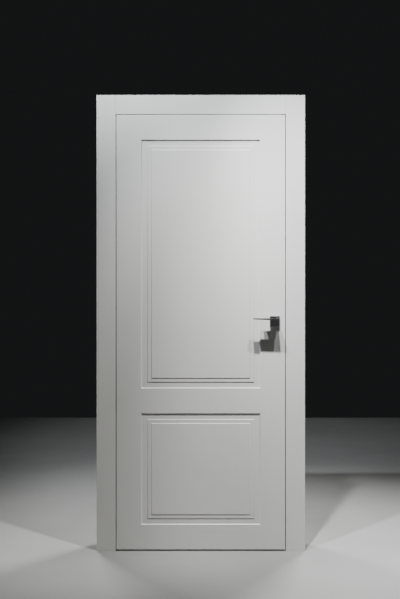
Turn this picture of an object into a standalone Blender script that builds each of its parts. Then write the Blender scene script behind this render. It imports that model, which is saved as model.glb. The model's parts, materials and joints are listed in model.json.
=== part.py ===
"""Interior door: a flush leaf with two milled panels, in its lining and casings.

The leaf hangs on three concealed hinges at the left and opens towards the front. A lever on each
face turns one square spindle, and a latch bolt slides out of the lock edge into the strike plate.

Metres, +Z up. Each shape is worked out from the door's own corner: x = 0 on the leaf's centre line,
y = 0 at the common front of leaf and casings, +Y to the back, z = 0 on the floor. The empty named
doorset then carries that corner to where it belongs, so that the whole hangs from the middle of
the head jamb's top face.
"""
import math

import bmesh
import bpy
from mathutils import Matrix, Vector

for old in list(bpy.data.objects):
    bpy.data.objects.remove(old, do_unlink=True)

# Clearances
FIT_GAP = 0.0003            # between two pieces that are fixed face to face
LEAF_GAP = 0.0035           # round the leaf's sides and top
FLOOR_GAP = 0.007           # under the leaf

# Leaf
LEAF_WIDTH = 0.800
LEAF_HEIGHT = 2.060
LEAF_THICKNESS = 0.042
LEAF_ARRIS = 0.0015
STILE_WIDTH = 0.118
TOP_RAIL = 0.118
MIDDLE_RAIL = 0.118
BOTTOM_RAIL = 0.118
LOWER_PANEL_HEIGHT = 0.528

# Panel moulding, from the outer line inwards
CHANNEL_DEPTH = 0.004       # below the rails
CHANNEL_WIDTH = 0.029
CHANNEL_SLOPE = 0.003       # run of the sloping wall that leads down into the channel
LEDGE_RISE = 0.002          # above the channel
LEDGE_WIDTH = 0.019
STEP_SLOPE = 0.0012         # run of each small step up

# Lining and casings
WALL_DEPTH = 0.100
JAMB_THICKNESS = 0.040
STOP_PROJECTION = 0.012
CASING_WIDTH = 0.090
CASING_THICKNESS = 0.010
CASING_ARRIS = 0.0008
SEAL_THICKNESS = 0.003
SEAL_MARGIN = 0.001         # bare edge of the stop beside the seal

# Concealed hinges
HINGE_INSET = 0.200         # leaf's end to the centre of the outer hinges
PLATE_LENGTH = 0.130
PLATE_WIDTH = 0.028
PLATE_THICKNESS = 0.003
PLATE_MARGIN = 0.0015       # bare jamb in front of the hinge plates and the strike plate
LINK_THICKNESS = 0.006
LINK_RIM = 0.0035           # plate left behind the link's slot
LINK_HALF_ANGLE = math.radians(60)
LINK_HEIGHT = 0.064
LINK_CLEARANCE = 0.001      # between a link and the plate or pocket round it

# Lock and strike
FOREND_LENGTH = 0.190
FOREND_WIDTH = 0.018
FOREND_THICKNESS = 0.003
BOLT_WIDTH = 0.010
BOLT_HEIGHT = 0.016
BOLT_LENGTH = 0.028
BOLT_PROUD = 0.001          # how far the drawn-in bolt stands out of the forend
BOLT_THROW = 0.009
BOLT_CLEARANCE = 0.0005     # round the bolt where it slides in the forend
STRIKE_LENGTH = 0.130
STRIKE_WIDTH = 0.022
STRIKE_THICKNESS = 0.002
STRIKE_HOLE_MARGIN = 0.002  # round the bolt in the strike plate
STRIKE_POCKET_SPARE = 0.003 # beyond the thrown bolt

# Handle
BACKSET = 0.050             # lock edge to the spindle
SPINDLE_HEIGHT = 1.088      # above the floor
SPINDLE_SIDE = 0.008
SPINDLE_BORE = 0.014
SOCKET_SPARE = 0.0003       # round the spindle in each lever
ROSE_WIDTH = 0.046
ROSE_HEIGHT = 0.050
ROSE_THICKNESS = 0.008
ROSE_ARRIS = 0.001
SHANK_DIAMETER = 0.016
SHANK_CLEARANCE = 0.001     # round the shank in the rose
LEVER_REACH = 0.105         # spindle to the blade's free end
LEVER_HEEL = 0.014          # spindle to the blade's other end
LEVER_TOP = 0.0156          # above the spindle
LEVER_ROOT_THICKNESS = 0.0090
LEVER_TIP_THICKNESS = 0.0052
BLADE_FRONT = 0.055         # from the leaf's face
BLADE_BACK = 0.036
WEB_BACK = 0.022
WEB_REACH = 0.056           # spindle to the web's end
NECK_WIDTH = 0.018
NECK_LAP = 0.006            # how far the neck reaches under the web
NECK_DROP = 0.009           # below the spindle
SOCKET_END_WALL = 0.004     # of the neck, before the spindle's end
LEVER_ARRIS = 0.0006
LEVER_ROSE_GAP = 0.0007     # between the turning neck and the rose

ROUND_SIDES = 32            # facets of a full circle
END_FACETS = 10             # facets of a plate's half-round end
LINK_FACETS = 12            # facets along a link

# Worked out from the sizes above
HALF_LEAF = LEAF_WIDTH / 2
LEAF_TOP_Z = FLOOR_GAP + LEAF_HEIGHT
REBATE_X = HALF_LEAF + LEAF_GAP
HEAD_Z = LEAF_TOP_Z + LEAF_GAP
JAMB_FRONT_Y = CASING_THICKNESS + FIT_GAP
JAMB_BACK_Y = JAMB_FRONT_Y + WALL_DEPTH
BACK_CASING_Y = JAMB_BACK_Y + FIT_GAP
JAMB_TOP_Z = HEAD_Z + JAMB_THICKNESS
CASING_TOP_Z = HEAD_Z + CASING_WIDTH
SEAL_BACK_Y = LEAF_THICKNESS + FIT_GAP + SEAL_THICKNESS
STOP_FACE_Y = SEAL_BACK_Y + FIT_GAP
HINGE_X = -(HALF_LEAF + LEAF_GAP / 2)
PLATE_FRONT_Y = JAMB_FRONT_Y + PLATE_MARGIN
PLATE_MIDDLE_Y = PLATE_FRONT_Y + PLATE_WIDTH / 2
LINK_OUTER_RADIUS = PLATE_FRONT_Y + PLATE_WIDTH - LINK_RIM
LINK_INNER_RADIUS = LINK_OUTER_RADIUS - LINK_THICKNESS
LOCK_MIDDLE_Y = LEAF_THICKNESS / 2
SPINDLE_X = HALF_LEAF - BACKSET
HINGE_HEIGHTS = (
    LEAF_TOP_Z - HINGE_INSET,
    FLOOR_GAP + LEAF_HEIGHT / 2,
    FLOOR_GAP + HINGE_INSET,
)
LINTEL_PLACE = Vector((0, (JAMB_FRONT_Y + JAMB_BACK_Y) / 2, JAMB_TOP_Z))


def principled(name, colour, roughness, metallic):
    material = bpy.data.materials.new(name)
    material.use_nodes = True
    shader = material.node_tree.nodes["Principled BSDF"]
    shader.inputs["Base Color"].default_value = (*colour, 1)
    shader.inputs["Roughness"].default_value = roughness
    shader.inputs["Metallic"].default_value = metallic
    return material


LACQUER = principled("white_lacquer", (0.62, 0.62, 0.60), 0.42, 0)
DARK_METAL = principled("black_nickel", (0.21, 0.21, 0.217), 0.22, 1)
HINGE_METAL = principled("satin_hinge_metal", (0.45, 0.45, 0.46), 0.35, 1)
LOCK_METAL = principled("satin_lock_metal", (0.50, 0.50, 0.51), 0.32, 1)
SEAL_RUBBER = principled("grey_seal_rubber", (0.10, 0.10, 0.10), 0.8, 0)

PLACES = {}                 # where each empty stands, from the door's own corner


def stand(name, place, parent=None):
    """An empty at a place, which its pieces turn or hang with."""
    empty = bpy.data.objects.new(name, None)
    bpy.context.collection.objects.link(empty)
    PLACES[name] = Vector(place)
    if parent:
        empty.parent = parent
        empty.location = PLACES[name] - PLACES[parent.name]
    return empty


def piece(name, shape, material, parent, place=(0, 0, 0)):
    """An object from a bmesh that was modelled round place."""
    mesh = bpy.data.meshes.new(name)
    bmesh.ops.recalc_face_normals(shape, faces=shape.faces)
    shape.to_mesh(mesh)
    shape.free()
    mesh.materials.append(material)
    made = bpy.data.objects.new(name, mesh)
    bpy.context.collection.objects.link(made)
    made.parent = parent
    made.location = Vector(place) - PLACES[parent.name]
    return made


def tool_piece(name, shape, parent, place=(0, 0, 0)):
    """A cutter or a half that is joined in, which is no piece of the door itself."""
    made = piece(name, shape, LACQUER, parent, place)
    made.hide_render = True
    made.display_type = "WIRE"
    return made


def combine(target, tool, operation="DIFFERENCE"):
    modifier = target.modifiers.new(tool.name, "BOOLEAN")
    modifier.operation = operation
    modifier.solver = "EXACT"
    modifier.object = tool


def box(low, high):
    shape = bmesh.new()
    low, high = Vector(low), Vector(high)
    sized = Matrix.Diagonal((*(high - low), 1))
    bmesh.ops.create_cube(shape, size=1, matrix=Matrix.Translation((low + high) / 2) @ sized)
    return shape


def push_out(points, travel):
    """The closed outline through points, extruded along travel."""
    shape = bmesh.new()
    face = shape.faces.new([shape.verts.new(point) for point in points])
    grown = bmesh.ops.extrude_face_region(shape, geom=[face])
    moved = [item for item in grown["geom"] if isinstance(item, bmesh.types.BMVert)]
    bmesh.ops.translate(shape, verts=moved, vec=travel)
    bmesh.ops.recalc_face_normals(shape, faces=shape.faces)
    return shape


def round_bar(radius, start_y, end_y):
    """A round bar along Y on the spindle's axis."""
    shape = bmesh.new()
    turn = Matrix.Rotation(math.pi / 2, 4, "X")
    centre = Matrix.Translation((0, (start_y + end_y) / 2, 0))
    bmesh.ops.create_cone(shape, cap_ends=True, segments=ROUND_SIDES, radius1=radius, radius2=radius,
                          depth=abs(end_y - start_y), matrix=centre @ turn)
    return shape


def trim(shape, point, outward):
    """Cut away what lies outward of a plane, and close the cut."""
    everything = shape.verts[:] + shape.edges[:] + shape.faces[:]
    done = bmesh.ops.bisect_plane(shape, geom=everything, plane_co=point, plane_no=outward,
                                  clear_outer=True)
    rim = [item for item in done["geom_cut"] if isinstance(item, bmesh.types.BMEdge)]
    bmesh.ops.edgeloop_fill(shape, edges=rim)


def mirror_across(shape, axis):
    """Turn a shape into its mirror image, 0 for left and right or 1 for front and back."""
    flip = Vector((1, 1, 1))
    flip[axis] = -1
    bmesh.ops.scale(shape, vec=flip, verts=shape.verts)
    bmesh.ops.reverse_faces(shape, faces=shape.faces)


def ease(shape, edges, width):
    bmesh.ops.bevel(shape, geom=edges, offset=width, affect="EDGES", segments=1, profile=0.5, material=-1)


def edge_lies(edge, axis, value):
    """Whether both ends of an edge are at one value along an axis."""
    return all(math.isclose(vert.co[axis], value, abs_tol=1e-6) for vert in edge.verts)


doorset = stand("doorset", (0, 0, 0))
doorset.location = -LINTEL_PLACE
leaf_axis = stand("leaf_axis", (HINGE_X, 0, 0), doorset)
link_axis = stand("link_axis", (HINGE_X, 0, 0), doorset)
spindle_axis = stand("spindle_axis", (SPINDLE_X, 0, SPINDLE_HEIGHT), leaf_axis)
latch_path = stand("latch_path", (HALF_LEAF, LOCK_MIDDLE_Y, SPINDLE_HEIGHT), leaf_axis)


# Lining: two jambs and a head, flat boards mitred at the corners

LINING_SECTION = (          # beyond the opening's edge, and back from the front
    (0, JAMB_FRONT_Y),
    (JAMB_THICKNESS, JAMB_FRONT_Y),
    (JAMB_THICKNESS, JAMB_BACK_Y),
    (0, JAMB_BACK_Y),
)


def side_jamb():
    """The lock side's jamb, with its top cut on the mitre."""
    shape = push_out([(REBATE_X + out, y, 0) for out, y in LINING_SECTION], (0, 0, JAMB_TOP_Z))
    outward = Vector((-1, 0, 1)).normalized()
    trim(shape, Vector((REBATE_X, 0, HEAD_Z)) - outward * FIT_GAP / 2, outward)
    return shape


def head_jamb():
    outer = REBATE_X + JAMB_THICKNESS
    shape = push_out([(-outer, y, HEAD_Z + out) for out, y in LINING_SECTION], (2 * outer, 0, 0))
    for side in (-1, 1):
        outward = Vector((side, 0, -1)).normalized()
        trim(shape, Vector((side * REBATE_X, 0, HEAD_Z)) - outward * FIT_GAP / 2, outward)
    return shape


hinge_jamb_shape = side_jamb()
mirror_across(hinge_jamb_shape, 0)
jamb_hinge_side = piece("jamb_hinge_side", hinge_jamb_shape, LACQUER, doorset)
jamb_lock_side = piece("jamb_lock_side", side_jamb(), LACQUER, doorset)
piece("jamb_head", head_jamb(), LACQUER, doorset)


# Stops: strips planted on the lining, the head one across the whole width

STOP_INNER_X = REBATE_X - STOP_PROJECTION
STOP_OUTER = REBATE_X - FIT_GAP
STOP_SOFFIT_Z = HEAD_Z - STOP_PROJECTION

for side, name in ((-1, "stop_hinge_side"), (1, "stop_lock_side")):
    edges_x = sorted((side * STOP_INNER_X, side * STOP_OUTER))
    strip = box((edges_x[0], STOP_FACE_Y, 0), (edges_x[1], JAMB_BACK_Y, STOP_SOFFIT_Z - FIT_GAP))
    piece(name, strip, LACQUER, doorset)
head_stop = box((-STOP_OUTER, STOP_FACE_Y, STOP_SOFFIT_Z), (STOP_OUTER, JAMB_BACK_Y, HEAD_Z - FIT_GAP))
piece("stop_head", head_stop, LACQUER, doorset)


# Casings: flat boards over the joint between lining and wall, the head one between the side ones

def casing(name, low, high, across, front):
    """One board with its show face's long edges eased; across is the axis over its width."""
    shape = box(low, high)
    show_y = low[1] if front else high[1]
    long_edges = []
    for edge in shape.edges:
        on_side = edge_lies(edge, across, low[across]) or edge_lies(edge, across, high[across])
        if on_side and edge_lies(edge, 1, show_y):
            long_edges.append(edge)
    ease(shape, long_edges, CASING_ARRIS)
    piece(name, shape, LACQUER, doorset)


def casing_set(face, near_y, front):
    far_y = near_y + CASING_THICKNESS
    outer = REBATE_X + CASING_WIDTH
    inner = REBATE_X - FIT_GAP
    casing(f"casing_{face}_hinge_side", (-outer, near_y, 0), (-REBATE_X, far_y, CASING_TOP_Z), 0, front)
    casing(f"casing_{face}_lock_side", (REBATE_X, near_y, 0), (outer, far_y, CASING_TOP_Z), 0, front)
    casing(f"casing_{face}_head", (-inner, near_y, HEAD_Z), (inner, far_y, CASING_TOP_Z), 2, front)


casing_set("front", 0, True)
casing_set("back", BACK_CASING_Y, False)


# Seals: rubber strips on the stop, which the closed leaf rests against

SEAL_FRONT_Y = SEAL_BACK_Y - SEAL_THICKNESS
SEAL_INNER_X = STOP_INNER_X + SEAL_MARGIN
SEAL_OUTER_X = REBATE_X - FIT_GAP
SEAL_TOP_Z = HEAD_Z - FIT_GAP
SEAL_HEAD_LOW_Z = STOP_SOFFIT_Z + SEAL_MARGIN

for side, name in ((-1, "seal_hinge_side"), (1, "seal_lock_side")):
    edges_x = sorted((side * SEAL_INNER_X, side * SEAL_OUTER_X))
    strip = box((edges_x[0], SEAL_FRONT_Y, 0), (edges_x[1], SEAL_BACK_Y, SEAL_TOP_Z))
    piece(name, strip, SEAL_RUBBER, doorset)
seal_half = SEAL_INNER_X - FIT_GAP
head_strip = box((-seal_half, SEAL_FRONT_Y, SEAL_HEAD_LOW_Z), (seal_half, SEAL_BACK_Y, SEAL_TOP_Z))
piece("seal_head", head_strip, SEAL_RUBBER, doorset)


# Leaf: one slab, with each panel's channel and ledges milled into both faces

PANEL_HALF_WIDTH = HALF_LEAF - STILE_WIDTH
LOWER_PANEL_Z = (FLOOR_GAP + BOTTOM_RAIL, FLOOR_GAP + BOTTOM_RAIL + LOWER_PANEL_HEIGHT)
UPPER_PANEL_Z = (LOWER_PANEL_Z[1] + MIDDLE_RAIL, LEAF_TOP_Z - TOP_RAIL)
MOULDING = (                # run inwards and rise of each surface, from the outer line
    (CHANNEL_SLOPE, -CHANNEL_DEPTH),
    (CHANNEL_WIDTH - CHANNEL_SLOPE, 0),
    (STEP_SLOPE, LEDGE_RISE),
    (LEDGE_WIDTH - STEP_SLOPE, 0),
    (STEP_SLOPE, CHANNEL_DEPTH - LEDGE_RISE),
)


def split(shape, axis, value):
    """Score a line round the slab, so that a panel has faces of its own."""
    normal = Vector((0, 0, 0))
    normal[axis] = 1
    everything = shape.verts[:] + shape.edges[:] + shape.faces[:]
    bmesh.ops.bisect_plane(shape, geom=everything, plane_co=normal * value, plane_no=normal)


def leaf_slab():
    shape = box((-HALF_LEAF, 0, FLOOR_GAP), (HALF_LEAF, LEAF_THICKNESS, LEAF_TOP_Z))
    rim = [edge for edge in shape.edges if edge_lies(edge, 1, 0) or edge_lies(edge, 1, LEAF_THICKNESS)]
    ease(shape, rim, LEAF_ARRIS)
    for x in (-PANEL_HALF_WIDTH, PANEL_HALF_WIDTH):
        split(shape, 0, x)
    for z in (*LOWER_PANEL_Z, *UPPER_PANEL_Z):
        split(shape, 2, z)
    return shape


def mill_panel(shape, low_z, high_z, facing):
    """Step the channel and the ledges into one face; facing is -1 for the front, 1 for the back."""
    faces = []
    for face in shape.faces:
        middle = face.calc_center_median()
        inside = abs(middle.x) < PANEL_HALF_WIDTH and low_z < middle.z < high_z
        if inside and face.normal.y * facing > 0.9:
            faces.append(face)
    for run, rise in MOULDING:
        bmesh.ops.inset_region(shape, faces=faces, thickness=run, depth=rise,
                               use_boundary=True, use_even_offset=True)


leaf_shape = leaf_slab()
for low_z, high_z in (LOWER_PANEL_Z, UPPER_PANEL_Z):
    for facing in (-1, 1):
        mill_panel(leaf_shape, low_z, high_z, facing)
leaf_pivot_place = PLACES["leaf_axis"]
bmesh.ops.translate(leaf_shape, verts=leaf_shape.verts, vec=-leaf_pivot_place)
door_leaf = piece("door_leaf", leaf_shape, LACQUER, leaf_axis, leaf_pivot_place)


# Flat plates with round ends, let into an edge: hinge plates, forend and strike

def round_ended(length, width, thickness, side):
    """A plate over YZ round its middle, whose show face is at x = 0; side 1 lets it in towards +X."""
    radius = width / 2
    points = []
    for end in (1, -1):
        for step in range(END_FACETS + 1):
            angle = math.pi * step / END_FACETS
            y = end * radius * math.cos(angle)
            z = end * (length / 2 - radius + radius * math.sin(angle))
            points.append((0, y, z))
    return push_out(points, (side * thickness, 0, 0))


def let_in(host, name, length, width, thickness, side, parent, place):
    """Cut the recess that a round-ended plate lies in, a fit gap larger all round."""
    depth = thickness + FIT_GAP
    shape = round_ended(length + 2 * FIT_GAP, width + 2 * FIT_GAP, 2 * depth, side)
    bmesh.ops.translate(shape, verts=shape.verts, vec=(-side * depth, 0, 0))
    combine(host, tool_piece(name, shape, parent, place))


# Hinges: a plate in the jamb, a plate in the leaf, and a link that folds at half the leaf's angle

LINK_REACH = LINK_OUTER_RADIUS * math.sin(LINK_HALF_ANGLE)
LINK_FRONT_Y = LINK_INNER_RADIUS * math.cos(LINK_HALF_ANGLE)
PLATE_BACK_X = LEAF_GAP / 2 + PLATE_THICKNESS           # from the axis
SLOT_FRONT_Y = math.sqrt(LINK_INNER_RADIUS ** 2 - PLATE_BACK_X ** 2) - LINK_CLEARANCE / 2
SLOT_BACK_Y = LINK_OUTER_RADIUS + LINK_CLEARANCE / 2
SLOT_HALF_HEIGHT = LINK_HEIGHT / 2 + LINK_CLEARANCE


def link_shape():
    """A ring sector about the hinge's axis, which is at x = y = 0, centred on +Y."""
    points = []
    for step in range(LINK_FACETS + 1):
        angle = LINK_HALF_ANGLE * (2 * step / LINK_FACETS - 1)
        points.append((math.sin(angle), math.cos(angle)))
    bottom = -LINK_HEIGHT / 2
    outline = [(LINK_OUTER_RADIUS * x, LINK_OUTER_RADIUS * y, bottom) for x, y in points]
    outline += [(LINK_INNER_RADIUS * x, LINK_INNER_RADIUS * y, bottom) for x, y in reversed(points)]
    return push_out(outline, (0, 0, LINK_HEIGHT))


def link_pocket(side):
    """The hollow behind a plate that the link swings into; side 1 is the leaf's, -1 the jamb's."""
    near, far = side * LEAF_GAP / 2, side * (LINK_REACH + LINK_CLEARANCE)
    near += side * PLATE_THICKNESS / 2
    return box((min(near, far), LINK_FRONT_Y - LINK_CLEARANCE, -SLOT_HALF_HEIGHT),
               (max(near, far), SLOT_BACK_Y, SLOT_HALF_HEIGHT))


def link_slot():
    """The slot through a hinge plate, with the axis at x = y = 0."""
    half = LEAF_GAP + PLATE_THICKNESS
    return box((-half, SLOT_FRONT_Y, -SLOT_HALF_HEIGHT), (half, SLOT_BACK_Y, SLOT_HALF_HEIGHT))


def hinge_half(number, side, host, owner, height):
    """One plate with its recess and pocket; side 1 is in the leaf's edge, -1 in the jamb."""
    word = "leaf" if side > 0 else "frame"
    axis_place = Vector((HINGE_X, 0, height))
    plate_place = axis_place + Vector((side * LEAF_GAP / 2, PLATE_MIDDLE_Y, 0))
    let_in(host, f"recess_{word}_{number}", PLATE_LENGTH, PLATE_WIDTH, PLATE_THICKNESS, side, owner,
           plate_place)
    combine(host, tool_piece(f"pocket_{word}_{number}", link_pocket(side), owner, axis_place))
    plate = round_ended(PLATE_LENGTH, PLATE_WIDTH, PLATE_THICKNESS, side)
    made = piece(f"hinge_{word}_plate_{number}", plate, HINGE_METAL, owner, plate_place)
    combine(made, tool_piece(f"slot_{word}_{number}", link_slot(), owner, axis_place))


for number, height in enumerate(HINGE_HEIGHTS, start=1):
    hinge_half(number, 1, door_leaf, leaf_axis, height)
    hinge_half(number, -1, jamb_hinge_side, doorset, height)
    piece(f"hinge_link_{number}", link_shape(), HINGE_METAL, link_axis, (HINGE_X, 0, height))


# Lock: forend plate and latch bolt in the leaf, strike plate in the jamb

def bolt_bar(start_x, end_x, spare):
    """A box along the latch's path, spare larger than the bolt all round."""
    half_y = BOLT_WIDTH / 2 + spare
    half_z = BOLT_HEIGHT / 2 + spare
    return box((start_x, -half_y, -half_z), (end_x, half_y, half_z))


forend_place = PLACES["latch_path"]
let_in(door_leaf, "recess_forend", FOREND_LENGTH, FOREND_WIDTH, FOREND_THICKNESS, -1, leaf_axis,
       forend_place)
bolt_hole = tool_piece("bolt_hole", bolt_bar(-BOLT_LENGTH, 2 * BOLT_PROUD, BOLT_CLEARANCE), leaf_axis,
                       forend_place)
combine(door_leaf, bolt_hole)
forend = piece("lock_forend", round_ended(FOREND_LENGTH, FOREND_WIDTH, FOREND_THICKNESS, -1), LOCK_METAL,
               leaf_axis, forend_place)
combine(forend, bolt_hole)
bolt_shape = bolt_bar(BOLT_PROUD - BOLT_LENGTH, BOLT_PROUD, 0)
tip_edges = [edge for edge in bolt_shape.edges if edge_lies(edge, 0, BOLT_PROUD)]
ease(bolt_shape, tip_edges, BOLT_PROUD)
piece("latch_bolt", bolt_shape, LOCK_METAL, latch_path, forend_place)

strike_place = Vector((REBATE_X, JAMB_FRONT_Y + PLATE_MARGIN + STRIKE_WIDTH / 2, SPINDLE_HEIGHT))
let_in(jamb_lock_side, "recess_strike", STRIKE_LENGTH, STRIKE_WIDTH, STRIKE_THICKNESS, 1, doorset,
       strike_place)
strike_depth = BOLT_PROUD + BOLT_THROW - LEAF_GAP + STRIKE_POCKET_SPARE
strike_hole = tool_piece("strike_hole", bolt_bar(-LEAF_GAP / 2, strike_depth, STRIKE_HOLE_MARGIN), doorset,
                         (REBATE_X, LOCK_MIDDLE_Y, SPINDLE_HEIGHT))
combine(jamb_lock_side, strike_hole)
strike = piece("strike_plate", round_ended(STRIKE_LENGTH, STRIKE_WIDTH, STRIKE_THICKNESS, 1), LOCK_METAL,
               doorset, strike_place)
combine(strike, strike_hole)


# Handle: a square rose and a lever on each face, with one square spindle through the leaf

SHANK_END = FIT_GAP                                     # from the leaf's face
NECK_FRONT = WEB_BACK + NECK_LAP                        # from the leaf's face
NECK_BACK = FIT_GAP + ROSE_THICKNESS + LEVER_ROSE_GAP   # from the leaf's face
SPINDLE_END = NECK_FRONT - SOCKET_END_WALL
spindle_place = PLACES["spindle_axis"]
back_face_place = spindle_place + Vector((0, LEAF_THICKNESS, 0))

spindle_bore = round_bar(SPINDLE_BORE / 2, -FIT_GAP, LEAF_THICKNESS + FIT_GAP)
combine(door_leaf, tool_piece("spindle_bore", spindle_bore, leaf_axis, spindle_place))


def rose_shape():
    """The rose on the front face, round the spindle's axis, with its front edges eased."""
    half_x = ROSE_WIDTH / 2
    half_z = ROSE_HEIGHT / 2
    front_y = -(FIT_GAP + ROSE_THICKNESS)
    shape = box((-half_x, front_y, -half_z), (half_x, -FIT_GAP, half_z))
    ease(shape, [edge for edge in shape.edges if edge_lies(edge, 1, front_y)], ROSE_ARRIS)
    return shape


def lever_plate():
    """The blade and the web that carries it, seen from above a stepped plate, thinner to its tip."""
    root_z = LEVER_TOP - LEVER_ROOT_THICKNESS
    half_neck = NECK_WIDTH / 2
    outline = (
        (LEVER_HEEL, -BLADE_FRONT),
        (LEVER_HEEL, -WEB_BACK),
        (-WEB_REACH, -WEB_BACK),
        (-WEB_REACH, -BLADE_BACK),
        (-LEVER_REACH, -BLADE_BACK),
        (-LEVER_REACH, -BLADE_FRONT),
    )
    shape = push_out([(x, y, root_z) for x, y in outline], (0, 0, LEVER_ROOT_THICKNESS))
    taper = (LEVER_ROOT_THICKNESS - LEVER_TIP_THICKNESS) / (LEVER_REACH - half_neck)
    for vert in shape.verts:
        if vert.co.z < LEVER_TOP - LEVER_TIP_THICKNESS and vert.co.x < -half_neck:
            vert.co.z += taper * (-half_neck - vert.co.x)
    ease(shape, shape.edges[:], LEVER_ARRIS)
    return shape


def neck_shape():
    """The block that reaches from under the web's top down round the spindle's axis."""
    half = NECK_WIDTH / 2
    shape = box((-half, -NECK_FRONT, -NECK_DROP), (half, -NECK_BACK, LEVER_TOP - 2 * LEVER_ARRIS))
    ease(shape, shape.edges[:], LEVER_ARRIS)
    return shape


def handle_side(word, place, back):
    """Rose and lever of one face; the back one is the front one's mirror image."""
    half_socket = SPINDLE_SIDE / 2 + SOCKET_SPARE
    shapes = {
        "rose": rose_shape(),
        "rose_hole": round_bar(SHANK_DIAMETER / 2 + SHANK_CLEARANCE, FIT_GAP, -2 * ROSE_THICKNESS),
        "lever": lever_plate(),
        "neck": neck_shape(),
        "shank": round_bar(SHANK_DIAMETER / 2, -SHANK_END, -(NECK_BACK + NECK_FRONT) / 2),
        "socket": box((-half_socket, -SPINDLE_END - SOCKET_SPARE, -half_socket),
                      (half_socket, FIT_GAP, half_socket)),
    }
    if back:
        for shape in shapes.values():
            mirror_across(shape, 1)
    rose = piece(f"rose_{word}", shapes["rose"], DARK_METAL, leaf_axis, place)
    combine(rose, tool_piece(f"rose_hole_{word}", shapes["rose_hole"], leaf_axis, place))
    lever = piece(f"lever_{word}", shapes["lever"], DARK_METAL, spindle_axis, place)
    combine(lever, tool_piece(f"neck_{word}", shapes["neck"], spindle_axis, place), "UNION")
    combine(lever, tool_piece(f"shank_{word}", shapes["shank"], spindle_axis, place), "UNION")
    combine(lever, tool_piece(f"socket_{word}", shapes["socket"], spindle_axis, place))


handle_side("front", spindle_place, False)
handle_side("back", back_face_place, True)
half_side = SPINDLE_SIDE / 2
spindle_shape = box((-half_side, -SPINDLE_END, -half_side),
                    (half_side, LEAF_THICKNESS + SPINDLE_END, half_side))
piece("spindle", spindle_shape, LOCK_METAL, spindle_axis, spindle_place)

for made in bpy.data.objects:
    if made.type == "MESH":
        made.data.shade_smooth()
        made.data.set_sharp_from_angle(angle=math.radians(30))
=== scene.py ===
import json
import math

import bmesh
import bpy
from mathutils import Matrix, Vector


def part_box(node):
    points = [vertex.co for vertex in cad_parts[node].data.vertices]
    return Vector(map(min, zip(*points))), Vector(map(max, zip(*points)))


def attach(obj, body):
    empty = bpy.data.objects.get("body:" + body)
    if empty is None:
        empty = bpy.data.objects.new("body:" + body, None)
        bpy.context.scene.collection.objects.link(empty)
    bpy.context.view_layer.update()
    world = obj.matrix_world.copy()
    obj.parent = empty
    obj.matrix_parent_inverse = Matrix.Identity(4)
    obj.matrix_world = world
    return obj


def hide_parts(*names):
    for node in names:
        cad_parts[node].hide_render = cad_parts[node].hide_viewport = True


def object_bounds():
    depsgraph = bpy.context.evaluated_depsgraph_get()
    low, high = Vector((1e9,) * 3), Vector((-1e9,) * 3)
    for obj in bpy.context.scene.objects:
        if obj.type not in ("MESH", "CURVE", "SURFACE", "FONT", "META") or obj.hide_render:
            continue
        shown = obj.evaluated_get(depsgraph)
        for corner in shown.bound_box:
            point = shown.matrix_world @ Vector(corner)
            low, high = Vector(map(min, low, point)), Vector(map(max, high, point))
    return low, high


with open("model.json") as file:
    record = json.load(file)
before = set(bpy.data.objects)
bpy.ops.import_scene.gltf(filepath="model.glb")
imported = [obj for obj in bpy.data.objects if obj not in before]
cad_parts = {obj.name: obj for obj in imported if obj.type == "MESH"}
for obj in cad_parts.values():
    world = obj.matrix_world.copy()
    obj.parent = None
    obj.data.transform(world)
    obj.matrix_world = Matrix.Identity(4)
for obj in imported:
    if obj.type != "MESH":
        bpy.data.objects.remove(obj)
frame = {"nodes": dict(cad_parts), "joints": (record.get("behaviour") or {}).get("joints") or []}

cad_box = [list(corner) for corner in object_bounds()]


# Lining
# Three boards of coated fibreboard, mitred at the head and foamed into the wall. Sprayed with the
# same satin lacquer as the leaf. Their shape is the frame's own, and only the finish is added here.

NOISE_LOW = 0.3             # the noise seldom goes below this
NOISE_HIGH = 0.7            # or above this


def new_group(name, inputs, outputs):
    """A shader node group with its sockets: inputs as (label, kind, value), outputs as (label, kind)."""
    group = bpy.data.node_groups.new(name, "ShaderNodeTree")
    for label, kind, value in inputs:
        group.interface.new_socket(name=label, in_out="INPUT", socket_type=kind).default_value = value
    for label, kind in outputs:
        group.interface.new_socket(name=label, in_out="OUTPUT", socket_type=kind)
    return group, group.nodes.new("NodeGroupInput"), group.nodes.new("NodeGroupOutput")


def mottle_group():
    """Soft clouding between two values, on object coordinates in metres."""
    group, given, result = new_group(
        "mottle",
        (("Scale", "NodeSocketFloat", 5.0), ("Stretch", "NodeSocketVector", (1, 1, 1)),
         ("Detail", "NodeSocketFloat", 2.0), ("Low", "NodeSocketFloat", 0.0),
         ("High", "NodeSocketFloat", 1.0)),
        (("Value", "NodeSocketFloat"),))
    place = group.nodes.new("ShaderNodeTexCoord")
    stretch = group.nodes.new("ShaderNodeVectorMath")
    stretch.operation = "MULTIPLY"
    noise = group.nodes.new("ShaderNodeTexNoise")
    spread = group.nodes.new("ShaderNodeMapRange")
    spread.inputs["From Min"].default_value = NOISE_LOW
    spread.inputs["From Max"].default_value = NOISE_HIGH
    group.links.new(place.outputs["Object"], stretch.inputs[0])
    group.links.new(given.outputs["Stretch"], stretch.inputs[1])
    group.links.new(stretch.outputs[0], noise.inputs["Vector"])
    group.links.new(given.outputs["Scale"], noise.inputs["Scale"])
    group.links.new(given.outputs["Detail"], noise.inputs["Detail"])
    group.links.new(noise.outputs["Fac"], spread.inputs["Value"])
    group.links.new(given.outputs["Low"], spread.inputs["To Min"])
    group.links.new(given.outputs["High"], spread.inputs["To Max"])
    group.links.new(spread.outputs["Result"], result.inputs["Value"])
    return group


mottle = mottle_group()


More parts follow.
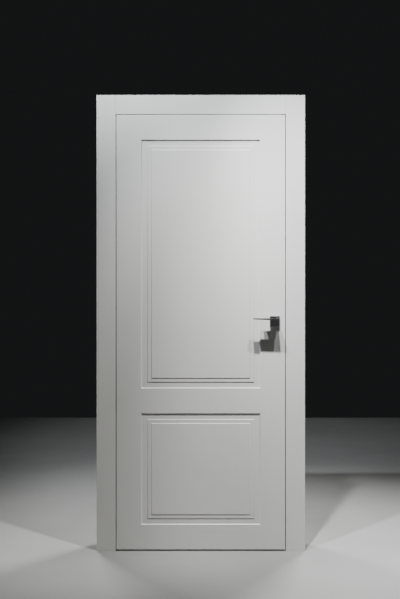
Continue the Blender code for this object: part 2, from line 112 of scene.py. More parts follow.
def add_mottle(tree, scale, low, high, stretch=(1, 1, 1), detail=2.0):
    """One clouding in a material; returns its output socket."""
    node = tree.nodes.new("ShaderNodeGroup")
    node.node_tree = mottle
    for label, value in (("Scale", scale), ("Stretch", stretch), ("Detail", detail),
                         ("Low", low), ("High", high)):
        node.inputs[label].default_value = value
    return node.outputs["Value"]


def finish_material(name, tones, tone_cloud, gloss_cloud, relief_cloud, relief_depth, metallic=0.0):
    """A surface whose colour, gloss and fine relief each vary by a clouding of their own.

    tones are its darker and lighter colour. Each cloud is a dict of add_mottle's values, and the
    gloss cloud's low and high are roughness. relief_depth is the height of the relief in metres.
    """
    material = bpy.data.materials.new(name)
    material.use_nodes = True
    tree = material.node_tree
    shader = tree.nodes["Principled BSDF"]
    shader.inputs["Metallic"].default_value = metallic
    mix = tree.nodes.new("ShaderNodeMix")
    mix.data_type = "RGBA"
    mix.inputs["A"].default_value = (*tones[0], 1)
    mix.inputs["B"].default_value = (*tones[1], 1)
    tree.links.new(add_mottle(tree, low=0, high=1, **tone_cloud), mix.inputs["Factor"])
    tree.links.new(mix.outputs["Result"], shader.inputs["Base Color"])
    tree.links.new(add_mottle(tree, **gloss_cloud), shader.inputs["Roughness"])
    bump = tree.nodes.new("ShaderNodeBump")
    bump.inputs["Strength"].default_value = 1.0
    bump.inputs["Distance"].default_value = relief_depth
    tree.links.new(add_mottle(tree, low=0, high=1, **relief_cloud), bump.inputs["Height"])
    tree.links.new(bump.outputs["Normal"], shader.inputs["Normal"])
    return material


def lacquer(name):
    """The satin lacquer of the boards: drifts of the spray gun half a metre long, and orange peel."""
    return finish_material(name, tones=((0.600, 0.600, 0.585), (0.632, 0.631, 0.616)),
                           tone_cloud={"scale": 2.2, "detail": 3.0},
                           gloss_cloud={"scale": 7.0, "detail": 4.0, "low": 0.40, "high": 0.47},
                           relief_cloud={"scale": 340.0, "detail": 1.0}, relief_depth=0.000010)


lining_lacquer = lacquer("lining_lacquer")
for node in ("jamb_hinge_side", "jamb_lock_side", "jamb_head"):
    for slot in frame["nodes"][node].material_slots:
        slot.material = lining_lacquer


# Stops
# Strips of the same board, glued and pinned on the lining, that the seals lie on. Their free edges
# are eased by hand before spraying.

X, Y, Z = 0, 1, 2                   # the axes, as places in a vector
ACROSS = {X: Z, Z: X}               # the axis of a strip's width, by the one it runs along
STOP_EASE = 0.0015
SHARP_ANGLE = math.radians(40)      # edges that turn further than this look crisp
FLAT_WEIGHT = 100                   # how far broad faces rule the shading of the roundings
STRAIGHT = 0.99                     # share of an edge's length that counts as all of it


def block(low, high):
    """A box between two corners."""
    shape = bmesh.new()
    low, high = Vector(low), Vector(high)
    bmesh.ops.create_cube(shape, size=1, matrix=Matrix.Translation((low + high) / 2)
                          @ Matrix.Diagonal((*(high - low), 1)))
    return shape


def ease_edges(shape, edges, width, segments=3):
    """Round some edges of a shape over by a small width."""
    bmesh.ops.bevel(shape, geom=list(edges), offset=width, affect="EDGES", segments=segments,
                    profile=0.5, material=-1)


def add_piece(name, shape, material, body, nodes=()):
    """A piece of the door from a bmesh that is already in place, on its body."""
    mesh = bpy.data.meshes.new(name)
    shape.to_mesh(mesh)
    shape.free()
    mesh.materials.append(material)
    piece = bpy.data.objects.new(name, mesh)
    bpy.context.collection.objects.link(piece)
    mesh.shade_smooth()
    mesh.set_sharp_from_angle(angle=SHARP_ANGLE)
    flats = piece.modifiers.new("keep_flats_flat", "WEIGHTED_NORMAL")
    flats.keep_sharp = True
    flats.weight = FLAT_WEIGHT
    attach(piece, body)
    if nodes:
        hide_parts(*nodes)
    return piece


def along(edge, axis):
    """Whether an edge runs along one axis."""
    way = edge.verts[1].co - edge.verts[0].co
    return abs(way[axis]) > STRAIGHT * way.length


stop_lacquer = lacquer("stop_lacquer")
for node, run in (("stop_hinge_side", Z), ("stop_lock_side", Z), ("stop_head", X)):
    strip = block(*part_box(node))
    ease_edges(strip, [edge for edge in strip.edges if along(edge, run)], STOP_EASE)
    add_piece(f"eased_{node}", strip, stop_lacquer, "frame", (node,))


# Casings
# Flat boards that cover the joint between lining and wall on both faces of it. The head one stands
# between the side ones, so that a fine upright joint shows at each end of it.

CASING_EASE = 0.0012
JOINT_EASE = 0.0004         # the butt joints are left almost square
JOINT_GAP = 0.0003          # more than the frame's own gap at each end of a head board
LONG_EDGE = 0.2             # the edges between the board's ends are longer than this
SQUARE_TURN = 1.0           # radians; an edge that turns further is still square

casing_lacquer = lacquer("casing_lacquer")
for face in ("front", "back"):
    for place, run in (("hinge_side", Z), ("lock_side", Z), ("head", X)):
        node = f"casing_{face}_{place}"
        low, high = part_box(node)
        if place == "head":
            low.x, high.x = low.x + JOINT_GAP, high.x - JOINT_GAP
        board = block(low, high)
        end_edges = [edge for edge in board.edges if along(edge, ACROSS[run])]
        ease_edges(board, end_edges, JOINT_EASE, 2)
        long_edges = [edge for edge in board.edges if along(edge, run)
                      and edge.calc_length() > LONG_EDGE and edge.calc_face_angle() > SQUARE_TURN]
        ease_edges(board, long_edges, CASING_EASE)
        add_piece(f"eased_{node}", board, casing_lacquer, "frame", (node,))


# Leaf
# A framed slab in fibreboard skins. On each face a router has run one channel round each panel,
# with two small steps back up to the field, and the whole is sprayed in satin lacquer. The pockets
# for the hinges and the lock are cut after spraying, so bare board shows inside them.

STILE = 0.118               # leaf's side to the outer line of a panel
RAIL = 0.118                # each of the top, middle and bottom rails
LOWER_PANEL_HEIGHT = 0.528
LEAF_EASE = 0.0015
CHANNEL = (0.003, -0.004)   # run and rise of each wall of the moulding, from the outer line inwards
FIRST_STEP = (0.0012, 0.002)
SECOND_STEP = (0.0012, 0.002)
CHANNEL_WIDTH = 0.029
LEDGE_WIDTH = 0.019
CUTTER_RADIUS = 0.0007      # rounding that the cutter and the sanding leave at each corner
ROUND_STEPS = 3
LARGEST_SHARE = 1 / 3       # of a wall that one rounding takes
FLAT_MARGIN = 0.0004        # narrow flat beside each rounding, which keeps the broad flats flat
LEAD = 0.02                 # level run before the moulding and after it
SQUARE_ON = 0.9             # a face whose normal has this much along an axis faces that way
SAME_PLACE = 1e-6
RECESS_SPARE = 0.0003       # round a plate let into an edge
LINK_SPARE = Vector((0.0013, 0.0012, 0.0012))   # round a hinge link in its pocket
POCKET_LAP = 0.001          # of a link's pocket with the plate's recess
BOLT_SPARE = Vector((0.0005, 0.0005, 0.0005))
SPINDLE_BORE = 0.014
CUT_PAST = 0.01             # how far a cutter reaches out past what it cuts

leaf_low, leaf_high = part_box("door_leaf")
bolt_low, bolt_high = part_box("latch_bolt")


def moulding_line():
    """Corners of the moulding's section as (run inwards, height), from the outer line."""
    corners = [(0, 0), CHANNEL]
    corners.append((CHANNEL_WIDTH, CHANNEL[1]))
    corners.append((CHANNEL_WIDTH + FIRST_STEP[0], CHANNEL[1] + FIRST_STEP[1]))
    ledge_end = CHANNEL_WIDTH + LEDGE_WIDTH
    corners.append((ledge_end, corners[-1][1]))
    corners.append((ledge_end + SECOND_STEP[0], corners[-1][1] + SECOND_STEP[1]))
    return [Vector(corner) for corner in corners]


def rounded(corners, radius):
    """The line through corners with each corner swept round, and a flat margin on its level side."""
    chain = [corners[0] - Vector((LEAD, 0)), *corners, corners[-1] + Vector((LEAD, 0))]
    line = []
    for last, corner, coming in zip(chain, chain[1:], chain[2:]):
        back = (last - corner).normalized()
        ahead = (coming - corner).normalized()
        wall = min((last - corner).length, (coming - corner).length)
        reach = min(radius, wall * LARGEST_SHARE)
        if abs(back.y) < SAME_PLACE:
            line.append(corner + back * (reach + FLAT_MARGIN))
        for step in range(ROUND_STEPS + 1):
            t = step / ROUND_STEPS
            line.append(corner + back * reach * (1 - t) ** 2 + ahead * reach * t ** 2)
        if abs(ahead.y) < SAME_PLACE:
            line.append(corner + ahead * (reach + FLAT_MARGIN))
    return line


def split_at(shape, axis, value):
    """Cut the faces of a shape along a plane square to an axis, and keep both sides."""
    normal = Vector((0, 0, 0))
    normal[axis] = 1
    bmesh.ops.bisect_plane(shape, geom=shape.verts[:] + shape.edges[:] + shape.faces[:],
                           plane_co=normal * value, plane_no=normal)


leaf = block(leaf_low, leaf_high)
rim = [edge for edge in leaf.edges if not along(edge, Y)]
ease_edges(leaf, rim, LEAF_EASE)
section = rounded(moulding_line(), CUTTER_RADIUS)
outer_reach = -section[0].x                             # the rounding begins outside the outer line
panel_x = leaf_high.x - STILE + outer_reach
lower_z = (leaf_low.z + RAIL - outer_reach, leaf_low.z + RAIL + LOWER_PANEL_HEIGHT + outer_reach)
upper_z = (lower_z[1] + RAIL - 2 * outer_reach, leaf_high.z - RAIL + outer_reach)
for x in (-panel_x, panel_x):
    split_at(leaf, X, x)
for z in (*lower_z, *upper_z):
    split_at(leaf, Z, z)
for low_z, high_z in (lower_z, upper_z):
    for facing in (-1, 1):
        field = [face for face in leaf.faces if face.normal.y * facing > SQUARE_ON
                 and abs(face.calc_center_median().x) < panel_x
                 and low_z < face.calc_center_median().z < high_z]
        for here, there in zip(section, section[1:]):
            bmesh.ops.inset_region(leaf, faces=field, thickness=there.x - here.x,
                                   depth=there.y - here.y, use_boundary=True, use_even_offset=True)

leaf_lacquer = lacquer("leaf_lacquer")
bare_board = finish_material("bare_board", tones=((0.30, 0.20, 0.12), (0.38, 0.27, 0.17)),
                             tone_cloud={"scale": 180.0, "detail": 5.0},
                             gloss_cloud={"scale": 60.0, "low": 0.75, "high": 0.9},
                             relief_cloud={"scale": 900.0, "stretch": (1, 1, 0.3)}, relief_depth=0.00008)


def carve(piece, shapes, operation="DIFFERENCE", material=None):
    """Cut shapes out of a piece, or join them to it, for good; material is what the cut bares."""
    tools = []
    for shape in shapes:
        mesh = bpy.data.meshes.new("tool")
        shape.to_mesh(mesh)
        shape.free()
        if material:
            mesh.materials.append(material)
        tool = bpy.data.objects.new("tool", mesh)
        bpy.context.collection.objects.link(tool)
        tools.append(tool)
        cut = piece.modifiers.new("cut", "BOOLEAN")
        cut.operation = operation
        cut.solver = "EXACT"
        cut.object = tool
        if material:
            cut.material_mode = "TRANSFER"
        piece.modifiers.move(len(piece.modifiers) - 1, 0)
    flats = piece.modifiers["keep_flats_flat"]
    flats.show_viewport = False
    seen = piece.evaluated_get(bpy.context.evaluated_depsgraph_get())
    carved = bpy.data.meshes.new_from_object(seen)
    flats.show_viewport = True
    for cut in [modifier for modifier in piece.modifiers if modifier.type == "BOOLEAN"]:
        piece.modifiers.remove(cut)
    piece.data = carved
    carved.set_sharp_from_angle(angle=SHARP_ANGLE)
    for tool in tools:
        bpy.data.objects.remove(tool, do_unlink=True)


def extrude(shape, face, travel):
    """Draw one face of a shape out into a solid; returns the corners of its far end."""
    grown = bmesh.ops.extrude_face_region(shape, geom=[face])
    moved = [item for item in grown["geom"] if isinstance(item, bmesh.types.BMVert)]
    bmesh.ops.translate(shape, verts=moved, vec=travel)
    return moved


def round_ended(middle, length, width, start_x, end_x, facets=14):
    """A flat plate over YZ with half-round ends, from start_x to end_x."""
    radius = width / 2
    shape = bmesh.new()
    rim = []
    for end in (1, -1):
        for step in range(facets + 1):
            angle = math.pi * step / facets
            y = middle.y + end * radius * math.cos(angle)
            z = middle.z + end * (length / 2 - radius + radius * math.sin(angle))
            rim.append(shape.verts.new((start_x, y, z)))
    extrude(shape, shape.faces.new(rim), (end_x - start_x, 0, 0))
    bmesh.ops.recalc_face_normals(shape, faces=shape.faces)
    return shape


def middle_of(node):
    """The middle of a CAD node's box."""
    low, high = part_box(node)
    return (low + high) / 2


def recess_for(node, outward):
    """The shallow recess that a round-ended plate lies in; outward is the open side along X."""
    low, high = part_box(node)
    back = (low.x if outward > 0 else high.x) - outward * RECESS_SPARE
    return round_ended(middle_of(node), high.z - low.z + 2 * RECESS_SPARE,
                       high.y - low.y + 2 * RECESS_SPARE, back, back + outward * CUT_PAST)


def bolt_way():
    """The latch bolt's way through the leaf's edge and the forend."""
    return block(bolt_low - BOLT_SPARE, bolt_high + BOLT_SPARE + Vector((CUT_PAST, 0, 0)))


def round_bar(centre, radius, start_y, end_y, segments=48):
    """A round bar along Y."""
    shape = bmesh.new()
    place = Matrix.Translation((centre.x, (start_y + end_y) / 2, centre.z))
    bmesh.ops.create_cone(shape, cap_ends=True, segments=segments, radius1=radius, radius2=radius,
                          depth=abs(end_y - start_y), matrix=place @ Matrix.Rotation(math.pi / 2, 4, "X"))
    return shape


pockets = [recess_for("lock_forend", 1)]
for number in (1, 2, 3):
    plate = f"hinge_leaf_plate_{number}"
    pockets.append(recess_for(plate, -1))
    link_low, link_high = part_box(f"hinge_link_{number}")
    mouth_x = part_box(plate)[1].x - POCKET_LAP
    pockets.append(block((mouth_x, *(link_low - LINK_SPARE).yz), link_high + LINK_SPARE))
pockets.append(bolt_way())
spindle_middle = middle_of("spindle")
pockets.append(round_bar(spindle_middle, SPINDLE_BORE / 2, leaf_low.y - CUT_PAST, leaf_high.y + CUT_PAST))
milled_leaf = add_piece("milled_leaf", leaf, leaf_lacquer, "leaf", ("door_leaf",))
carve(milled_leaf, pockets, material=bare_board)


# Seals
# Strips of soft grey rubber on the stops, each a thin base with a hollow bulb that the closed leaf
# presses on. The side strips run to the top and the head one stands between them.

SEAL_BASE = 0.0008          # thickness of the strip's base
BULB_SHARE = 0.62           # of the strip's width that the bulb takes
BULB_FACETS = 12

seal_rubber = finish_material("seal_rubber", tones=((0.055, 0.055, 0.055), (0.085, 0.085, 0.083)),
                              tone_cloud={"scale": 40.0},
                              gloss_cloud={"scale": 90.0, "low": 0.62, "high": 0.78},
                              relief_cloud={"scale": 1400.0}, relief_depth=0.00004)
for node, run in (("seal_hinge_side", Z), ("seal_lock_side", Z), ("seal_head", X)):
    low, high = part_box(node)
    across = ACROSS[run]
    middle, half = (low[across] + high[across]) / 2, (high[across] - low[across]) / 2
    bulb_half = half * BULB_SHARE
    base_y = high.y - SEAL_BASE
    line = [(middle - half, high.y), (middle + half, high.y), (middle + half, base_y)]
    for step in range(BULB_FACETS + 1):
        angle = math.pi * step / BULB_FACETS
        line.append((middle + bulb_half * math.cos(angle), base_y - (base_y - low.y) * math.sin(angle)))
    line.append((middle - half, base_y))
    strip = bmesh.new()
    points = []
    for offset, y in line:
        point = Vector((0, y, 0))
        point[across] = offset
        point[run] = low[run]
        points.append(strip.verts.new(point))
    travel = Vector((0, 0, 0))
    travel[run] = high[run] - low[run]
    extrude(strip, strip.faces.new(points), travel)
    bmesh.ops.recalc_face_normals(strip, faces=strip.faces)
    add_piece(f"bulb_{node}", strip, seal_rubber, "frame", (node,))


# Hinges
# Three concealed hinges of die-cast zinc with a satin plate. Each has a round-ended plate screwed
# into the leaf's edge and one into the jamb, and a bowed link of three arms that folds between them.

PLATE_EASE = 0.0005
SCREW_RADIUS = 0.0042
SCREW_INSET = 0.016         # plate's end to the screw
COUNTERSINK = 0.0016
COUNTERSINK_SPARE = 0.0004  # round a screw's head, and past the plate's face
HEAD_SINK = 0.0002          # from a countersink's rim in to the head's
HEAD_DEPTH = 0.7            # of the countersink that the head fills
HEAD_FOOT = 0.62            # of the head's width that its inner end has
SOCKET_RADIUS = 0.0019
SOCKET_DEPTH = 0.0014
SLOT_MARGIN = 0.0006        # round the link, inside the CAD plate's slot
ARMS = 3
ARM_GAP = 0.0016            # between two arms of a link
ARM_EASE = 0.0006
WEB_SET_IN = 0.001          # of the webs between the arms
LINK_HALF_ANGLE = math.radians(60)
LINK_FACETS = 28

satin_zinc = finish_material("satin_zinc", tones=((0.42, 0.42, 0.425), (0.46, 0.46, 0.465)),
                             tone_cloud={"scale": 30.0},
                             gloss_cloud={"scale": 70.0, "low": 0.30, "high": 0.35},
                             relief_cloud={"scale": 260.0, "stretch": (1, 6, 0.4)},
                             relief_depth=0.000012, metallic=1.0)
screw_steel = finish_material("screw_steel", tones=((0.46, 0.46, 0.47), (0.56, 0.56, 0.57)),
                              tone_cloud={"scale": 200.0},
                              gloss_cloud={"scale": 300.0, "low": 0.22, "high": 0.34},
                              relief_cloud={"scale": 700.0}, relief_depth=0.00001, metallic=1.0)


def turned_to(outward):
    """The turn that brings +Z to the outward side along X."""
    return Matrix.Rotation(outward * math.pi / 2, 4, "Y")


def countersink(place, outward):
    """The cone that a flat screw head lies in, widest at the plate's face."""
    shape = bmesh.new()
    bmesh.ops.create_cone(shape, cap_ends=True, segments=32, radius1=SCREW_RADIUS - COUNTERSINK,
                          radius2=SCREW_RADIUS + COUNTERSINK_SPARE, depth=COUNTERSINK + COUNTERSINK_SPARE,
                          matrix=Matrix.Translation(place - Vector((outward * COUNTERSINK / 2, 0, 0)))
                          @ turned_to(outward))
    return shape


def flat_screw(shape, place, outward):
    """Add a countersunk head to a shape, its rim just under the plate's face."""
    head = Matrix.Translation(place - Vector((outward * HEAD_SINK, 0, 0))) @ turned_to(outward)
    rim = bmesh.ops.create_circle(shape, cap_ends=True, segments=24, radius=SCREW_RADIUS - HEAD_SINK,
                                  matrix=head)["verts"]
    foot = extrude(shape, rim[0].link_faces[0], (-outward * COUNTERSINK * HEAD_DEPTH, 0, 0))
    bmesh.ops.scale(shape, verts=foot, vec=(1, HEAD_FOOT, HEAD_FOOT), space=Matrix.Translation(-place))


def socket_cut(place, outward):
    """The six-sided socket that the driver goes in."""
    shape = bmesh.new()
    bmesh.ops.create_cone(shape, cap_ends=True, segments=6, radius1=SOCKET_RADIUS, radius2=SOCKET_RADIUS,
                          depth=SOCKET_DEPTH, matrix=Matrix.Translation(place) @ turned_to(outward))
    return shape


def screws_in(name, plate_node, inset, outward, body):
    """Two screws in a round-ended plate, as one piece; returns the countersinks to cut for them."""
    low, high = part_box(plate_node)
    face_x = high.x if outward > 0 else low.x
    places = [Vector((face_x, middle_of(plate_node).y, z)) for z in (low.z + inset, high.z - inset)]
    heads = bmesh.new()
    for place in places:
        flat_screw(heads, place, outward)
    bmesh.ops.recalc_face_normals(heads, faces=heads.faces)
    screws = add_piece(name, heads, screw_steel, body, ())
    carve(screws, [socket_cut(place, outward) for place in places])
    return [countersink(place, outward) for place in places]


def plate_piece(node, outward, body, material, cuts):
    """A round-ended plate with its show edge eased and its holes cut."""
    low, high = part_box(node)
    face_x, back_x = (high.x, low.x) if outward > 0 else (low.x, high.x)
    shape = round_ended(middle_of(node), high.z - low.z, high.y - low.y, back_x, face_x)
    show = [edge for edge in shape.edges
            if all(abs(vert.co.x - face_x) < SAME_PLACE for vert in edge.verts)]
    ease_edges(shape, show, PLATE_EASE, 2)
    made = add_piece(f"detailed_{node}", shape, material, body, (node,))
    carve(made, cuts)


hinge_x = frame["joints"][0]["pos_m"][0]
front_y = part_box("casing_front_head")[0].y


def bow(shape, near, far, base_z, height):
    """Add a flat bow about the hinge's axis to a shape; returns its corners."""
    turns = [LINK_HALF_ANGLE * (2 * step / LINK_FACETS - 1) for step in range(LINK_FACETS + 1)]
    outline = [shape.verts.new((hinge_x + reach * math.sin(turn), front_y + reach * math.cos(turn), base_z))
               for reach, way in ((far, turns), (near, reversed(turns))) for turn in way]
    return outline + extrude(shape, shape.faces.new(outline), (0, 0, height))


for number in (1, 2, 3):
    link_low, link_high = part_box(f"hinge_link_{number}")
    outer = link_high.y - front_y
    inner = (link_low.y - front_y) / math.cos(LINK_HALF_ANGLE)
    for body, outward in (("leaf", -1), ("frame", 1)):
        node = f"hinge_{body}_plate_{number}"
        low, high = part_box(node)
        cuts = screws_in(f"hinge_{body}_screws_{number}", node, SCREW_INSET, outward, body)
        depth_x = max(abs(low.x - hinge_x), abs(high.x - hinge_x))
        slot_front = front_y + math.sqrt(inner ** 2 - depth_x ** 2) - SLOT_MARGIN
        cuts.append(block((low.x - CUT_PAST, slot_front, link_low.z - SLOT_MARGIN),
                          (high.x + CUT_PAST, link_high.y + SLOT_MARGIN, link_high.z + SLOT_MARGIN)))
        plate_piece(node, outward, body, satin_zinc, cuts)
    link = bmesh.new()
    arm_height = (link_high.z - link_low.z - (ARMS - 1) * ARM_GAP) / ARMS
    for arm in range(ARMS):
        arm_z = link_low.z + arm * (arm_height + ARM_GAP)
        corners = bow(link, inner, outer, arm_z, arm_height)
        caps = {edge for corner in corners for edge in corner.link_edges if not along(edge, Z)}
        ease_edges(link, caps, ARM_EASE, 2)
        if arm < ARMS - 1:
            bow(link, inner + WEB_SET_IN, outer - WEB_SET_IN, arm_z + arm_height, ARM_GAP)
    bmesh.ops.recalc_face_normals(link, faces=link.faces)
    add_piece(f"hinge_link_arms_{number}", link, satin_zinc, "hinge_links", (f"hinge_link_{number}",))


# Lock
# A latch lock in the leaf's edge, of which the satin steel forend and the bolt show. The bolt's nose
# is rounded. Opposite it a steel strike plate is screwed into the jamb.

LOCK_SCREW_INSET = 0.010
BOLT_EASE = 0.0009
STRIKE_HOLE_MARGIN = Vector((CUT_PAST, 0.002, 0.002))   # through the plate, and round the bolt

satin_steel = finish_material("satin_steel", tones=((0.50, 0.50, 0.505), (0.54, 0.54, 0.545)),
                              tone_cloud={"scale": 25.0},
                              gloss_cloud={"scale": 60.0, "low": 0.28, "high": 0.33},
                              relief_cloud={"scale": 420.0, "stretch": (1, 5, 0.25)},
                              relief_depth=0.00001, metallic=1.0)

forend_cuts = screws_in("forend_screws", "lock_forend", LOCK_SCREW_INSET, 1, "leaf")
forend_cuts.append(bolt_way())
plate_piece("lock_forend", 1, "leaf", satin_steel, forend_cuts)

bolt = block(bolt_low, bolt_high)
ease_edges(bolt, bolt.edges[:], BOLT_EASE)
add_piece("rounded_latch_bolt", bolt, satin_steel, "latch", ("latch_bolt",))

strike_low, strike_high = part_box("strike_plate")
strike_cuts = screws_in("strike_screws", "strike_plate", LOCK_SCREW_INSET, -1, "frame")
strike_cuts.append(block(Vector((strike_low.x, *bolt_low.yz)) - STRIKE_HOLE_MARGIN,
                         Vector((strike_high.x, *bolt_high.yz)) + STRIKE_HOLE_MARGIN))
plate_piece("strike_plate", -1, "frame", satin_steel, strike_cuts)


# Handle
# On each face a square rose and a lever of cast zinc alloy, polished and plated in dark nickel. The
# lever is a stepped plate seen edge-on: a neck, a web, and a blade that tapers to its tip. Under the
# neck is the hole for the grub screw that holds it on the square spindle.

ROSE_EASE = 0.0004
LEVER_EASE = 0.0003
EASED_TURN = 0.6            # radians; the lever's edges that turn further are eased
LEVER_HEEL = 0.014          # spindle to the blade's inner end
BLADE_FRONT = 0.055         # from the leaf's face
BLADE_BACK = 0.036
WEB_BACK = 0.022
WEB_REACH = 0.056           # spindle to the web's end
LEVER_TOP = 0.0156          # above the spindle
ROOT_THICKNESS = 0.0090
TIP_THICKNESS = 0.0052
NECK_WIDTH = 0.018
NECK_DROP = 0.009           # below the spindle
NECK_LAP = 0.006            # of the neck under the web
NECK_BACK = 0.009           # from the leaf's face
NECK_SET_DOWN = 0.0012      # neck's top under the lever's
SHANK_RADIUS = 0.008
ROSE_HOLE_RADIUS = 0.009
CORNER_RADIUS = 0.0025      # inner corners of the lever, seen from above
GRUB_RADIUS = 0.002
GRUB_DEPTH = 0.003
SPINDLE_EASE = 0.0005

dark_nickel = finish_material("dark_nickel", tones=((0.190, 0.190, 0.197), (0.240, 0.239, 0.246)),
                              tone_cloud={"scale": 18.0, "detail": 3.0},
                              gloss_cloud={"scale": 45.0, "detail": 4.0, "low": 0.16, "high": 0.27},
                              relief_cloud={"scale": 500.0, "stretch": (0.3, 1, 3)},
                              relief_depth=0.000006, metallic=1.0)


def turn_to_back(shape, mirror_y):
    """Mirror a shape, front to back, about a plane of constant y."""
    bmesh.ops.scale(shape, vec=(1, -1, 1), verts=shape.verts, space=Matrix.Translation((0, -mirror_y, 0)))
    bmesh.ops.reverse_faces(shape, faces=shape.faces)


def swept_corner(points, corner, radius, steps=5):
    """Points along a round inner corner between the legs that points[0] and points[1] end."""
    start, end = (corner + (Vector(point) - corner).normalized() * radius for point in points)
    line = []
    for step in range(steps + 1):
        t = step / steps
        line.append(start * (1 - t) ** 2 + corner * 2 * t * (1 - t) + end * t ** 2)
    return line


def lever_shape(axis, face_y):
    """Blade and web as one stepped plate, in place in front of the face at face_y."""
    reach = axis.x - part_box("lever_front")[0].x
    plan = [Vector((LEVER_HEEL, -BLADE_FRONT)), Vector((LEVER_HEEL, -WEB_BACK)),
            Vector((-WEB_REACH, -WEB_BACK))]
    inner = Vector((-WEB_REACH, -BLADE_BACK))
    plan += swept_corner(((-WEB_REACH, -WEB_BACK), (-reach, -BLADE_BACK)), inner, CORNER_RADIUS)
    plan += [Vector((-reach, -BLADE_BACK)), Vector((-reach, -BLADE_FRONT))]
    shape = bmesh.new()
    root_z = LEVER_TOP - ROOT_THICKNESS
    face = shape.faces.new([shape.verts.new((point.x, point.y, root_z)) for point in plan])
    extrude(shape, face, (0, 0, ROOT_THICKNESS))
    root_x = -NECK_WIDTH / 2
    for vert in shape.verts:
        if vert.co.z < LEVER_TOP - TIP_THICKNESS and vert.co.x < root_x:
            share = (root_x - vert.co.x) / (reach + root_x)
            vert.co.z += share * (ROOT_THICKNESS - TIP_THICKNESS)
    bmesh.ops.recalc_face_normals(shape, faces=shape.faces)
    ease_edges(shape, [edge for edge in shape.edges if edge.calc_face_angle() > EASED_TURN], LEVER_EASE)
    bmesh.ops.translate(shape, verts=shape.verts, vec=(axis.x, face_y, axis.z))
    return shape


face_y = leaf_low.y
mirror_y = (leaf_low.y + leaf_high.y) / 2
rose_low, rose_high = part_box("rose_front")
half_neck = NECK_WIDTH / 2
for word in ("front", "back"):
    rose = block(rose_low, rose_high)
    show = [edge for edge in rose.edges if along(edge, Y)
            or all(abs(vert.co.y - rose_high.y) > SAME_PLACE for vert in edge.verts)]
    ease_edges(rose, show, ROSE_EASE)
    hole = round_bar(spindle_middle, ROSE_HOLE_RADIUS, rose_low.y - CUT_PAST, rose_high.y + CUT_PAST)
    lever = lever_shape(spindle_middle, face_y)
    neck = block((spindle_middle.x - half_neck, face_y - WEB_BACK - NECK_LAP, spindle_middle.z - NECK_DROP),
                 (spindle_middle.x + half_neck, face_y - NECK_BACK,
                  spindle_middle.z + LEVER_TOP - NECK_SET_DOWN))
    ease_edges(neck, neck.edges[:], LEVER_EASE)
    shank = round_bar(spindle_middle, SHANK_RADIUS, face_y - WEB_BACK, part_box("lever_front")[1].y)
    grub_place = Vector((spindle_middle.x, face_y - (NECK_BACK + WEB_BACK) / 2,
                         spindle_middle.z - NECK_DROP))
    grub_hole = bmesh.new()
    bmesh.ops.create_cone(grub_hole, cap_ends=True, segments=24, radius1=GRUB_RADIUS, radius2=GRUB_RADIUS,
                          depth=GRUB_DEPTH, matrix=Matrix.Translation(grub_place))
    if word == "back":
        for shape in (rose, hole, lever, neck, shank, grub_hole):
            turn_to_back(shape, mirror_y)
    rose_piece = add_piece(f"polished_rose_{word}", rose, dark_nickel, "leaf", (f"rose_{word}",))
    carve(rose_piece, [hole])
    lever_piece = add_piece(f"polished_lever_{word}", lever, dark_nickel, "handle", (f"lever_{word}",))
    carve(lever_piece, [neck, shank], "UNION")
    carve(lever_piece, [grub_hole])

spindle = block(*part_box("spindle"))
ease_edges(spindle, spindle.edges[:], SPINDLE_EASE, 2)
add_piece("square_spindle", spindle, satin_steel, "handle", ("spindle",))


# Floor
# A plain pale studio floor of matt paint that the door stands on, level with the feet of its jambs
# and casings. It is no part of the door.

FLOOR_HALF = 4.0

pale_floor = finish_material("pale_floor", tones=((0.225, 0.225, 0.222), (0.255, 0.254, 0.250)),
                             tone_cloud={"scale": 1.5, "detail": 4.0},
                             gloss_cloud={"scale": 5.0, "low": 0.5, "high": 0.62},
                             relief_cloud={"scale": 60.0}, relief_depth=0.0001)
floor_z = cad_box[0][2]
floor_shape = bmesh.new()
bmesh.ops.create_grid(floor_shape, x_segments=1, y_segments=1, size=FLOOR_HALF,
                      matrix=Matrix.Translation((0, 0, floor_z)))
floor_mesh = bpy.data.meshes.new("studio_floor")
floor_shape.to_mesh(floor_mesh)
floor_shape.free()
floor_mesh.materials.append(pale_floor)
studio_floor = bpy.data.objects.new("studio_floor", floor_mesh)
bpy.context.collection.objects.link(studio_floor)


# Light
# Three soft lamps side by side, high in front of the door, whose beams fade towards its left foot,
# a cooler one for the upper left, and a dim even surround. A faint card beside the camera shows in
# the metal, and two broad lamps behind light the sides and the back.

LAMP_FORWARD = 1.0          # in front of the leaf
LAMP_HEIGHT = 3.77          # above the floor, as all the heights here are
LAMP_RADIUS = 0.04
# name, x, power, the point of the leaf's plane that it is aimed at (x, height), beam's half-angle, tint
LAMPS = (
    ("lamp_left", -0.49, 795.0, (1.193, 0.554), 16.7, (0.94, 0.98, 1.0)),
    ("lamp_middle", 0.10, 1014.0, (0.946, -0.125), 21.8, (1.0, 1.0, 1.0)),
    ("lamp_right", 0.72, 583.0, (-0.303, 0.669), 14.0, (1.0, 1.0, 0.965)),
    ("lamp_upper_left", -0.55, 651.0, (-0.32, 2.73), 26.9, (0.93, 0.98, 1.0)),
)
CARD_X = 0.73
CARD_FORWARD = 3.9          # in front of the leaf
CARD_HEIGHT = 1.0
CARD_AIM = (0.35, 1.09)     # x and height on the leaf's plane, at the handle
CARD_RADIANCE = 0.17
CARD_SIZE = 1.4
BACK_LAMP_X = 1.2           # to each side
BACK_LAMP_Y = 1.6
BACK_LAMP_HEIGHT = 3.2
BACK_AIM_HEIGHT = 1.0       # on the leaf's centre line
BACK_LAMP_POWER = 34.0
LEFT_SHARE = 0.8            # of the right lamp's power
BACK_LAMP_SIZE = 0.8
BACK_LAMP_SPREAD = math.radians(75)
SURROUND_TINT = (0.93, 0.96, 1.0, 1)
SURROUND_STRENGTH = 0.011


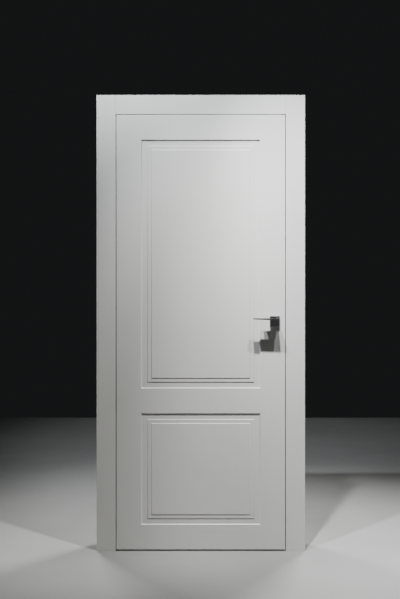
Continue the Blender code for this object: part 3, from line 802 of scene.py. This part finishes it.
def add_lamp(name, kind, place, aim, power, tint=(1, 1, 1)):
    """A lamp at a place, aimed at a point; returns its data."""
    lamp_data = bpy.data.lights.new(name, kind)
    lamp_data.energy = power
    lamp_data.color = tint
    lamp = bpy.data.objects.new(name, lamp_data)
    bpy.context.collection.objects.link(lamp)
    lamp.location = place
    lamp.rotation_euler = (Vector(aim) - Vector(place)).to_track_quat("-Z", "Y").to_euler()
    return lamp_data


for name, x, power, aim, half_angle, tint in LAMPS:
    spot = add_lamp(name, "SPOT", (x, front_y - LAMP_FORWARD, floor_z + LAMP_HEIGHT),
                    (aim[0], front_y, floor_z + aim[1]), power, tint)
    spot.shadow_soft_size = LAMP_RADIUS
    spot.spot_size = math.radians(2 * half_angle)
    spot.spot_blend = 1.0
card = add_lamp("reflected_card", "AREA", (CARD_X, front_y - CARD_FORWARD, floor_z + CARD_HEIGHT),
                (CARD_AIM[0], front_y, floor_z + CARD_AIM[1]), CARD_RADIANCE * math.pi * CARD_SIZE ** 2)
card.size = CARD_SIZE
for word, side, share in (("left", -1, LEFT_SHARE), ("right", 1, 1.0)):
    rear = add_lamp(f"lamp_behind_{word}", "AREA",
                    (side * BACK_LAMP_X, BACK_LAMP_Y, floor_z + BACK_LAMP_HEIGHT),
                    (0, 0, floor_z + BACK_AIM_HEIGHT), BACK_LAMP_POWER * share)
    rear.size = BACK_LAMP_SIZE
    rear.spread = BACK_LAMP_SPREAD

surround = bpy.data.worlds.new("dim_surround")
surround.use_nodes = True
background = surround.node_tree.nodes["Background"]
background.inputs["Color"].default_value = SURROUND_TINT
background.inputs["Strength"].default_value = SURROUND_STRENGTH
bpy.context.scene.world = surround


# Camera
# Level and square to the door and a little above its middle, as the photograph was taken. The view
# leaves the same margins round the door.

CAMERA_DISTANCE = 3.6       # in front of the leaf
CAMERA_HEIGHT = 1.1916      # above the floor
CAMERA_SIDE = -0.0037       # from the leaf's centre line
VIEW_HEIGHT = 2.838         # what the picture's height covers at the leaf
FILM = 36.0                 # millimetres, along the picture's height

camera_data = bpy.data.cameras.new("camera")
camera_data.sensor_width = FILM
camera_data.lens = FILM * CAMERA_DISTANCE / VIEW_HEIGHT
camera = bpy.data.objects.new("camera", camera_data)
bpy.context.collection.objects.link(camera)
camera.location = (CAMERA_SIDE, front_y - CAMERA_DISTANCE, floor_z + CAMERA_HEIGHT)
camera.rotation_euler = (math.pi / 2, 0, 0)
bpy.context.scene.camera = camera
